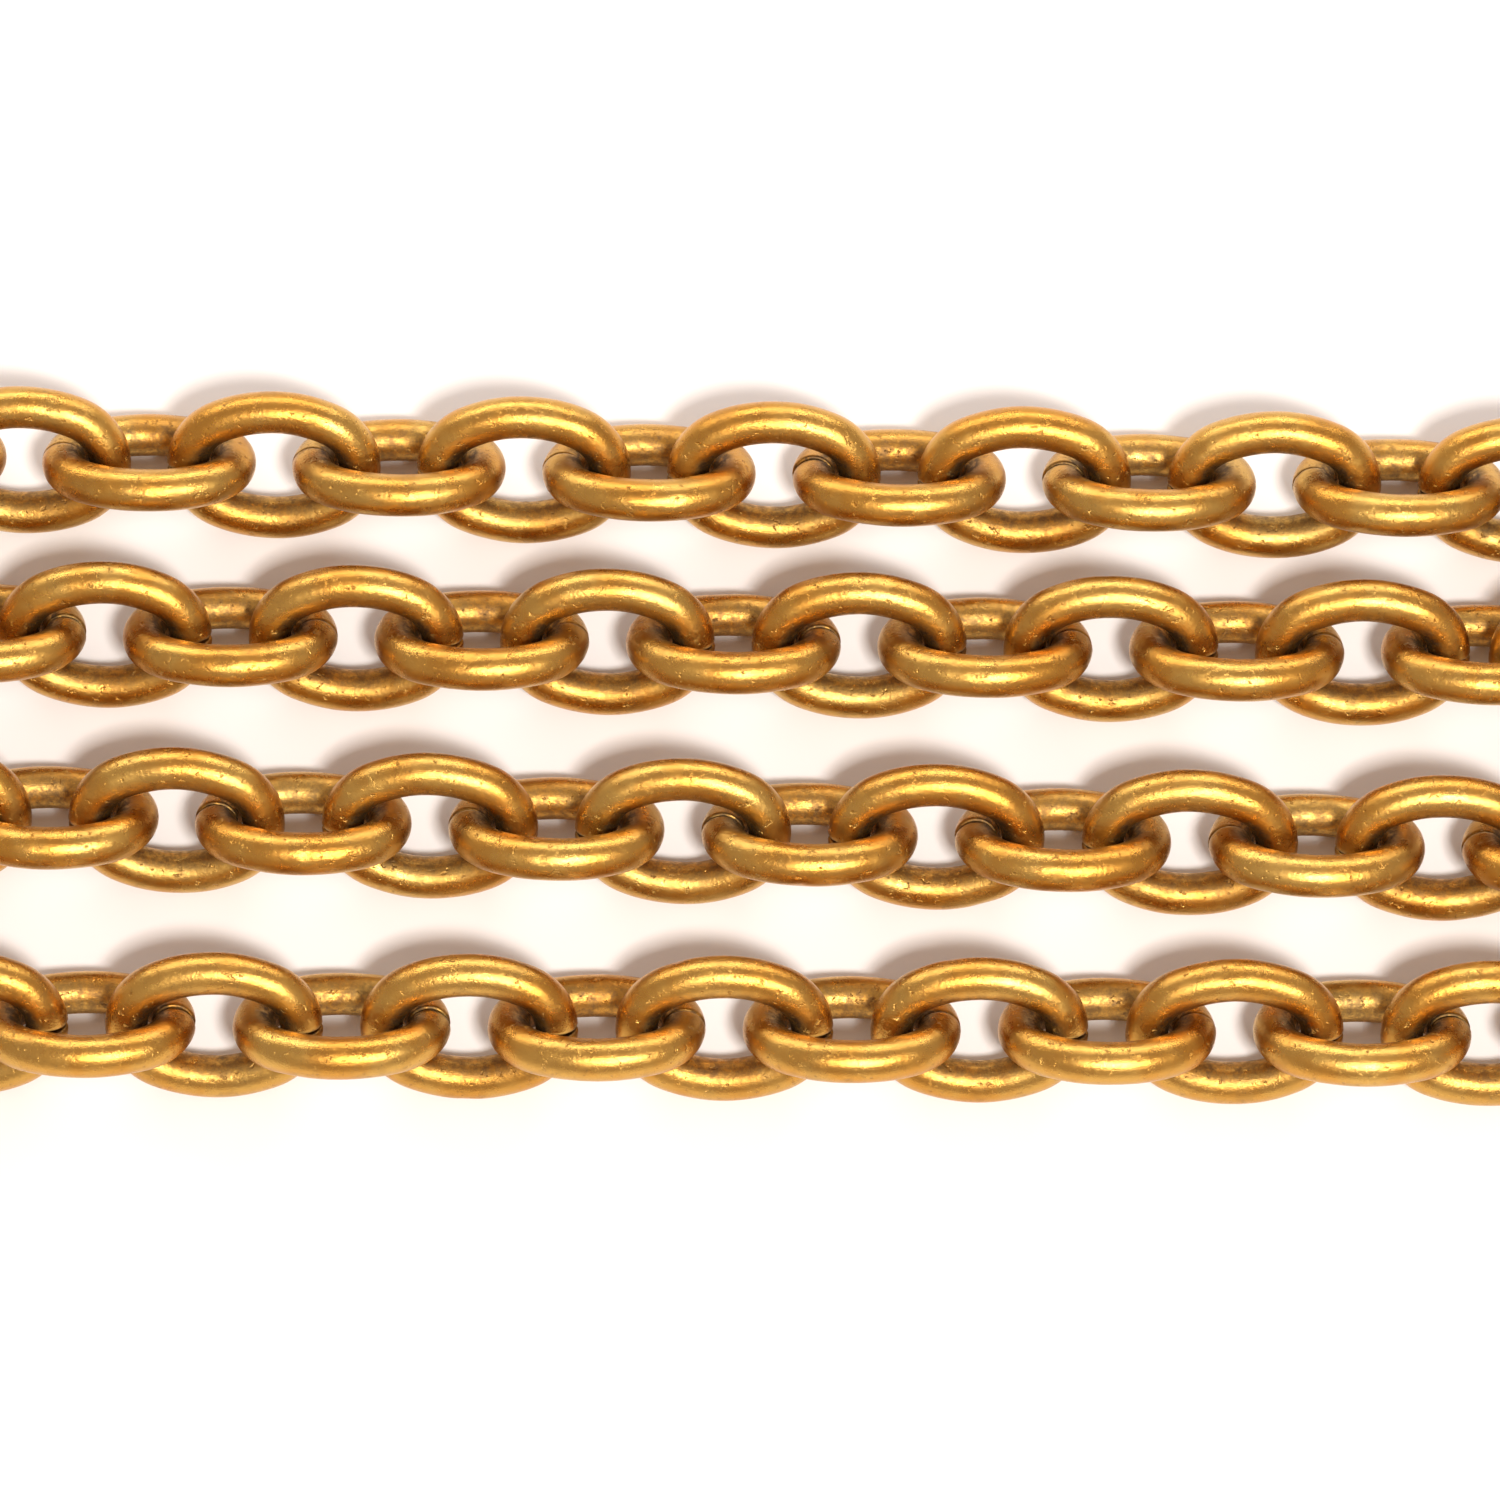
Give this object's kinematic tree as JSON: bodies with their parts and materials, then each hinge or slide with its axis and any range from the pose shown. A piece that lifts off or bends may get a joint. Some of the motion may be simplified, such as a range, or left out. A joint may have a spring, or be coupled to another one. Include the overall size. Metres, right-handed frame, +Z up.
{
  "type": "pocket watch chain",
  "caption": "Pocket watch chain of oval round-wire links folded in four rows, with a T-bar at one end and a sprung swivel clip at the other.",
  "frame": {"origin": "middle of the footprint on the surface that the chain lies on", "axes": "+Z up, +X along the rows away from the T-bar and clip, +Y towards the row that ends in the T-bar"},
  "size_m": [0.094, 0.0372, 0.0062],
  "materials": {
    "links": "aged, worn bright on the outside, dark in the crossings",
    "fittings": "aged, rubbed bright on the edges",
    "gate_spring": "dull spring steel"
  },
  "bodies": {
    "t_bar": {"t_bar": "fittings"},
    "bar_jump_ring": {"bar_jump_ring": "fittings"},
    "row_1_link_01": {"row_1_link_01": "links"},
    "row_1_link_02_03": {"row_1_link_02_03": "links"},
    "row_1_link_04": {"row_1_link_04": "links"},
    "row_1_link_05": {"row_1_link_05": "links"},
    "row_1_link_06": {"row_1_link_06": "links"},
    "row_1_link_07": {"row_1_link_07": "links"},
    "row_1_link_08_09": {"row_1_link_08_09": "links"},
    "row_1_link_10": {"row_1_link_10": "links"},
    "row_1_link_11": {"row_1_link_11": "links"},
    "row_1_link_12_13": {"row_1_link_12_13": "links"},
    "row_1_link_14": {"row_1_link_14": "links"},
    "turn_1_link_1": {"turn_1_link_1": "links"},
    "turn_1_link_2": {"turn_1_link_2": "links"},
    "turn_1_link_3": {"turn_1_link_3": "links"},
    "row_2_link_13": {"row_2_link_13": "links"},
    "row_2_link_12": {"row_2_link_12": "links"},
    "row_2_link_10_11": {"row_2_link_10_11": "links"},
    "row_2_link_09": {"row_2_link_09": "links"},
    "row_2_link_08": {"row_2_link_08": "links"},
    "row_2_link_07": {"row_2_link_07": "links"},
    "row_2_link_06": {"row_2_link_06": "links"},
    "row_2_link_04_05": {"row_2_link_04_05": "links"},
    "row_2_link_03": {"row_2_link_03": "links"},
    "row_2_link_02": {"row_2_link_02": "links"},
    "row_2_link_01": {"row_2_link_01": "links"},
    "turn_2_link_3": {"turn_2_link_3": "links"},
    "turn_2_link_2": {"turn_2_link_2": "links"},
    "turn_2_link_1": {"turn_2_link_1": "links"},
    "row_3_link_01": {"row_3_link_01": "links"},
    "row_3_link_02_03": {"row_3_link_02_03": "links"},
    "row_3_link_04": {"row_3_link_04": "links"},
    "row_3_link_05": {"row_3_link_05": "links"},
    "row_3_link_06_07": {"row_3_link_06_07": "links"},
    "row_3_link_08": {"row_3_link_08": "links"},
    "row_3_link_09": {"row_3_link_09": "links"},
    "row_3_link_10": {"row_3_link_10": "links"},
    "row_3_link_11": {"row_3_link_11": "links"},
    "row_3_link_12_13": {"row_3_link_12_13": "links"},
    "row_3_link_14": {"row_3_link_14": "links"},
    "turn_3_link_1": {"turn_3_link_1": "links"},
    "turn_3_link_2": {"turn_3_link_2": "links"},
    "turn_3_link_3": {"turn_3_link_3": "links"},
    "row_4_link_13": {"row_4_link_13": "links"},
    "row_4_link_12": {"row_4_link_12": "links"},
    "row_4_link_10_11": {"row_4_link_10_11": "links"},
    "row_4_link_09": {"row_4_link_09": "links"},
    "row_4_link_08": {"row_4_link_08": "links"},
    "row_4_link_06_07": {"row_4_link_06_07": "links"},
    "row_4_link_05": {"row_4_link_05": "links"},
    "row_4_link_04": {"row_4_link_04": "links"},
    "row_4_link_02_03": {"row_4_link_02_03": "links"},
    "row_4_link_01": {"row_4_link_01": "links"},
    "clip_jump_ring": {"clip_jump_ring": "fittings"},
    "swivel_shank": {"swivel_shank": "fittings"},
    "clip_body": {"clip_body": "fittings", "gate_pin": "fittings", "gate_spring": "gate_spring"},
    "gate_lever": {"gate_lever": "fittings"}
  },
  "joints": [
    {"name": "fold_2_c", "type": "hinge", "parent": "turn_2_link_2", "child": "turn_2_link_1", "pos_m": [-0.02584, -0.00357, 0.00229], "axis": [0, 0, -1], "range_deg": [0, 6]},
    {"name": "fold_2_d", "type": "hinge", "parent": "turn_2_link_1", "child": "row_3_link_01", "pos_m": [-0.0225, -0.00582, 0.00256], "axis": [0, 0, -1], "range_deg": [0, 25]},
    {"name": "link_3_02_03", "type": "hinge", "parent": "row_3_link_01", "child": "row_3_link_02_03", "pos_m": [-0.01818, -0.0062, 0.00231], "axis": [-0.0227, -0.9997, 0], "range_deg": [-18, 18]},
    {"name": "link_3_04", "type": "hinge", "parent": "row_3_link_02_03", "child": "row_3_link_04", "pos_m": [-0.00902, -0.00641, 0.00231], "axis": [0.0227, 0.9997, 0], "range_deg": [-18, 18]},
    {"name": "link_3_05", "type": "hinge", "parent": "row_3_link_04", "child": "row_3_link_05", "pos_m": [-0.00444, -0.00651, 0.00231], "axis": [0.0227, 0.9997, 0], "range_deg": [-18, 18]},
    {"name": "link_3_06_07", "type": "hinge", "parent": "row_3_link_05", "child": "row_3_link_06_07", "pos_m": [0.00014, -0.00661, 0.00231], "axis": [-0.0227, -0.9997, 0], "range_deg": [-18, 18]},
    {"name": "link_3_08", "type": "hinge", "parent": "row_3_link_06_07", "child": "row_3_link_08", "pos_m": [0.0093, -0.00682, 0.00231], "axis": [0.0227, 0.9997, 0], "range_deg": [-18, 18]},
    {"name": "link_3_09", "type": "hinge", "parent": "row_3_link_08", "child": "row_3_link_09", "pos_m": [0.01387, -0.00693, 0.00231], "axis": [-0.0227, -0.9997, 0], "range_deg": [-18, 18]},
    {"name": "link_3_10", "type": "hinge", "parent": "row_3_link_09", "child": "row_3_link_10", "pos_m": [0.01845, -0.00703, 0.00231], "axis": [-0.0227, -0.9997, 0], "range_deg": [-18, 18]},
    {"name": "link_3_11", "type": "hinge", "parent": "row_3_link_10", "child": "row_3_link_11", "pos_m": [0.02303, -0.00713, 0.00231], "axis": [0.0227, 0.9997, 0], "range_deg": [-18, 18]},
    {"name": "link_3_12_13", "type": "hinge", "parent": "row_3_link_11", "child": "row_3_link_12_13", "pos_m": [0.02761, -0.00724, 0.00231], "axis": [0.0227, 0.9997, 0], "range_deg": [-18, 18]},
    {"name": "link_3_14", "type": "hinge", "parent": "row_3_link_12_13", "child": "row_3_link_14", "pos_m": [0.03677, -0.00744, 0.00231], "axis": [-0.0227, -0.9997, 0], "range_deg": [-18, 18]},
    {"name": "fold_3_a", "type": "hinge", "parent": "row_3_link_14", "child": "turn_3_link_1", "pos_m": [0.0411, -0.00783, 0.00256], "axis": [0, 0, 1], "range_deg": [0, 25]},
    {"name": "fold_3_b", "type": "hinge", "parent": "turn_3_link_1", "child": "turn_3_link_2", "pos_m": [0.04418, -0.0102, 0.00229], "axis": [0, 0, 1], "range_deg": [0, 24]},
    {"name": "fold_3_c", "type": "hinge", "parent": "turn_3_link_2", "child": "turn_3_link_3", "pos_m": [0.04186, -0.01246, 0.00222], "axis": [0, 0, 1], "range_deg": [0, 8]},
    {"name": "fold_3_d", "type": "hinge", "parent": "turn_3_link_3", "child": "row_4_link_13", "pos_m": [0.03808, -0.01254, 0.00249], "axis": [0, 0, 1], "range_deg": [0, 16]},
    {"name": "link_4_12", "type": "hinge", "parent": "row_4_link_13", "child": "row_4_link_12", "pos_m": [0.0337, -0.01424, 0.00231], "axis": [0.007, 1, 0], "range_deg": [-18, 18]},
    {"name": "link_4_10_11", "type": "hinge", "parent": "row_4_link_12", "child": "row_4_link_10_11", "pos_m": [0.02912, -0.01421, 0.00231], "axis": [-0.007, -1, 0], "range_deg": [-18, 18]},
    {"name": "link_4_09", "type": "hinge", "parent": "row_4_link_10_11", "child": "row_4_link_09", "pos_m": [0.01996, -0.01415, 0.00231], "axis": [0.007, 1, 0], "range_deg": [-18, 18]},
    {"name": "link_4_08", "type": "hinge", "parent": "row_4_link_09", "child": "row_4_link_08", "pos_m": [0.01538, -0.01412, 0.00231], "axis": [-0.007, -1, 0], "range_deg": [-18, 18]},
    {"name": "link_4_06_07", "type": "hinge", "parent": "row_4_link_08", "child": "row_4_link_06_07", "pos_m": [0.0108, -0.01408, 0.00231], "axis": [-0.007, -1, 0], "range_deg": [-18, 18]},
    {"name": "link_4_05", "type": "hinge", "parent": "row_4_link_06_07", "child": "row_4_link_05", "pos_m": [0.00164, -0.01402, 0.00231], "axis": [0.007, 1, 0], "range_deg": [-18, 18]},
    {"name": "link_4_04", "type": "hinge", "parent": "row_4_link_05", "child": "row_4_link_04", "pos_m": [-0.00294, -0.01399, 0.00231], "axis": [0.007, 1, 0], "range_deg": [-18, 18]},
    {"name": "link_4_02_03", "type": "hinge", "parent": "row_4_link_04", "child": "row_4_link_02_03", "pos_m": [-0.00752, -0.01396, 0.00231], "axis": [-0.007, -1, 0], "range_deg": [-18, 18]},
    {"name": "link_4_01", "type": "hinge", "parent": "row_4_link_02_03", "child": "row_4_link_01", "pos_m": [-0.01668, -0.01389, 0.00231], "axis": [0.007, 1, 0], "range_deg": [-18, 18]},
    {"name": "clip_ring_rock", "type": "hinge", "parent": "row_4_link_01", "child": "clip_jump_ring", "pos_m": [-0.02125, -0.01386, 0.00231], "axis": [-0.007, -1, 0], "range_deg": [-18, 15]},
    {"name": "clip_shank_swing", "type": "hinge", "parent": "clip_jump_ring", "child": "swivel_shank", "pos_m": [-0.02518, -0.01383, 0.00244], "axis": [0, 0, 1], "range_deg": [-20, 20]},
    {"name": "clip_swivel_turn", "type": "hinge", "parent": "swivel_shank", "child": "clip_body", "pos_m": [-0.02916, -0.0138, 0.00244], "axis": [-1, 0.007, 0], "continuous": true},
    {"name": "fold_2_b", "type": "hinge", "parent": "turn_2_link_2", "child": "turn_2_link_3", "pos_m": [-0.02544, -0.00014, 0.00222], "axis": [0, 0, 1], "range_deg": [0, 25]},
    {"name": "fold_2_a", "type": "hinge", "parent": "turn_2_link_3", "child": "row_2_link_01", "pos_m": [-0.0208, -0.00051, 0.00249], "axis": [0, 0, 1], "range_deg": [0, 18]},
    {"name": "link_2_02", "type": "hinge", "parent": "row_2_link_01", "child": "row_2_link_02", "pos_m": [-0.01636, 0.00066, 0.00231], "axis": [-0.0148, -0.9999, 0], "range_deg": [-18, 18]},
    {"name": "link_2_03", "type": "hinge", "parent": "row_2_link_02", "child": "row_2_link_03", "pos_m": [-0.01178, 0.00059, 0.00231], "axis": [0.0148, 0.9999, 0], "range_deg": [-18, 18]},
    {"name": "link_2_04_05", "type": "hinge", "parent": "row_2_link_03", "child": "row_2_link_04_05", "pos_m": [-0.0072, 0.00052, 0.00231], "axis": [0.0148, 0.9999, 0], "range_deg": [-18, 18]},
    {"name": "link_2_06", "type": "hinge", "parent": "row_2_link_04_05", "child": "row_2_link_06", "pos_m": [0.00196, 0.00039, 0.00231], "axis": [-0.0148, -0.9999, 0], "range_deg": [-18, 18]},
    {"name": "link_2_07", "type": "hinge", "parent": "row_2_link_06", "child": "row_2_link_07", "pos_m": [0.00654, 0.00032, 0.00231], "axis": [-0.0148, -0.9999, 0], "range_deg": [-18, 18]},
    {"name": "link_2_08", "type": "hinge", "parent": "row_2_link_07", "child": "row_2_link_08", "pos_m": [0.01112, 0.00025, 0.00231], "axis": [0.0148, 0.9999, 0], "range_deg": [-18, 18]},
    {"name": "link_2_09", "type": "hinge", "parent": "row_2_link_08", "child": "row_2_link_09", "pos_m": [0.0157, 0.00018, 0.00231], "axis": [-0.0148, -0.9999, 0], "range_deg": [-18, 18]},
    {"name": "link_2_10_11", "type": "hinge", "parent": "row_2_link_09", "child": "row_2_link_10_11", "pos_m": [0.02027, 0.00011, 0.00231], "axis": [0.0148, 0.9999, 0], "range_deg": [-18, 18]},
    {"name": "link_2_12", "type": "hinge", "parent": "row_2_link_10_11", "child": "row_2_link_12", "pos_m": [0.02943, -0.00002, 0.00231], "axis": [0.0148, 0.9999, 0], "range_deg": [-18, 18]},
    {"name": "link_2_13", "type": "hinge", "parent": "row_2_link_12", "child": "row_2_link_13", "pos_m": [0.03401, -0.00009, 0.00231], "axis": [-0.0148, -0.9999, 0], "range_deg": [-18, 18]},
    {"name": "fold_1_d", "type": "hinge", "parent": "row_2_link_13", "child": "turn_1_link_3", "pos_m": [0.03824, 0, 0.00231], "axis": [0, 0, -1], "range_deg": [0, 30]},
    {"name": "fold_1_c", "type": "hinge", "parent": "turn_1_link_3", "child": "turn_1_link_2", "pos_m": [0.04177, 0.0011, 0.0029], "axis": [0, 0, -1], "range_deg": [0, 12]},
    {"name": "fold_1_b", "type": "hinge", "parent": "turn_1_link_2", "child": "turn_1_link_1", "pos_m": [0.04301, 0.00495, 0.00283], "axis": [0, 0, -1], "range_deg": [0, 30]},
    {"name": "fold_1_a", "type": "hinge", "parent": "turn_1_link_1", "child": "row_1_link_14", "pos_m": [0.03977, 0.00587, 0.00224], "axis": [0, 0, -1], "range_deg": [0, 30]},
    {"name": "link_1_12_13", "type": "hinge", "parent": "row_1_link_14", "child": "row_1_link_12_13", "pos_m": [0.03549, 0.00618, 0.00231], "axis": [0.0209, 0.9998, 0], "range_deg": [-18, 18]},
    {"name": "link_1_11", "type": "hinge", "parent": "row_1_link_12_13", "child": "row_1_link_11", "pos_m": [0.02633, 0.00637, 0.00231], "axis": [-0.0209, -0.9998, 0], "range_deg": [-18, 18]},
    {"name": "link_1_10", "type": "hinge", "parent": "row_1_link_11", "child": "row_1_link_10", "pos_m": [0.02175, 0.00647, 0.00231], "axis": [-0.0209, -0.9998, 0], "range_deg": [-18, 18]},
    {"name": "link_1_08_09", "type": "hinge", "parent": "row_1_link_10", "child": "row_1_link_08_09", "pos_m": [0.01717, 0.00656, 0.00231], "axis": [0.0209, 0.9998, 0], "range_deg": [-18, 18]},
    {"name": "link_1_07", "type": "hinge", "parent": "row_1_link_08_09", "child": "row_1_link_07", "pos_m": [0.00802, 0.00676, 0.00231], "axis": [-0.0209, -0.9998, 0], "range_deg": [-18, 18]},
    {"name": "link_1_06", "type": "hinge", "parent": "row_1_link_07", "child": "row_1_link_06", "pos_m": [0.00344, 0.00685, 0.00231], "axis": [0.0209, 0.9998, 0], "range_deg": [-18, 18]},
    {"name": "link_1_05", "type": "hinge", "parent": "row_1_link_06", "child": "row_1_link_05", "pos_m": [-0.00114, 0.00695, 0.00231], "axis": [0.0209, 0.9998, 0], "range_deg": [-18, 18]},
    {"name": "link_1_04", "type": "hinge", "parent": "row_1_link_05", "child": "row_1_link_04", "pos_m": [-0.00572, 0.00704, 0.00231], "axis": [-0.0209, -0.9998, 0], "range_deg": [-18, 18]},
    {"name": "link_1_02_03", "type": "hinge", "parent": "row_1_link_04", "child": "row_1_link_02_03", "pos_m": [-0.0103, 0.00714, 0.00231], "axis": [-0.0209, -0.9998, 0], "range_deg": [-18, 18]},
    {"name": "link_1_01", "type": "hinge", "parent": "row_1_link_02_03", "child": "row_1_link_01", "pos_m": [-0.01946, 0.00733, 0.00231], "axis": [0.0209, 0.9998, 0], "range_deg": [-18, 18]},
    {"name": "bar_ring_rock", "type": "hinge", "parent": "row_1_link_01", "child": "bar_jump_ring", "pos_m": [-0.02392, 0.00742, 0.00231], "axis": [-0.0209, -0.9998, 0], "range_deg": [-18, 12]},
    {"name": "bar_swing", "type": "hinge", "parent": "bar_jump_ring", "child": "t_bar", "pos_m": [-0.02787, 0.00751, 0.0029], "axis": [0, 0, 1], "range_deg": [-45, 5]},
    {"name": "clip_gate_open", "type": "hinge", "parent": "clip_body", "child": "gate_lever", "pos_m": [-0.03438, -0.01707, 0.00244], "axis": [0, 0, -1], "range_deg": [0, 24], "stiffness_Nm_per_rad": 0.002, "springref_deg": -14.32}
  ]
}
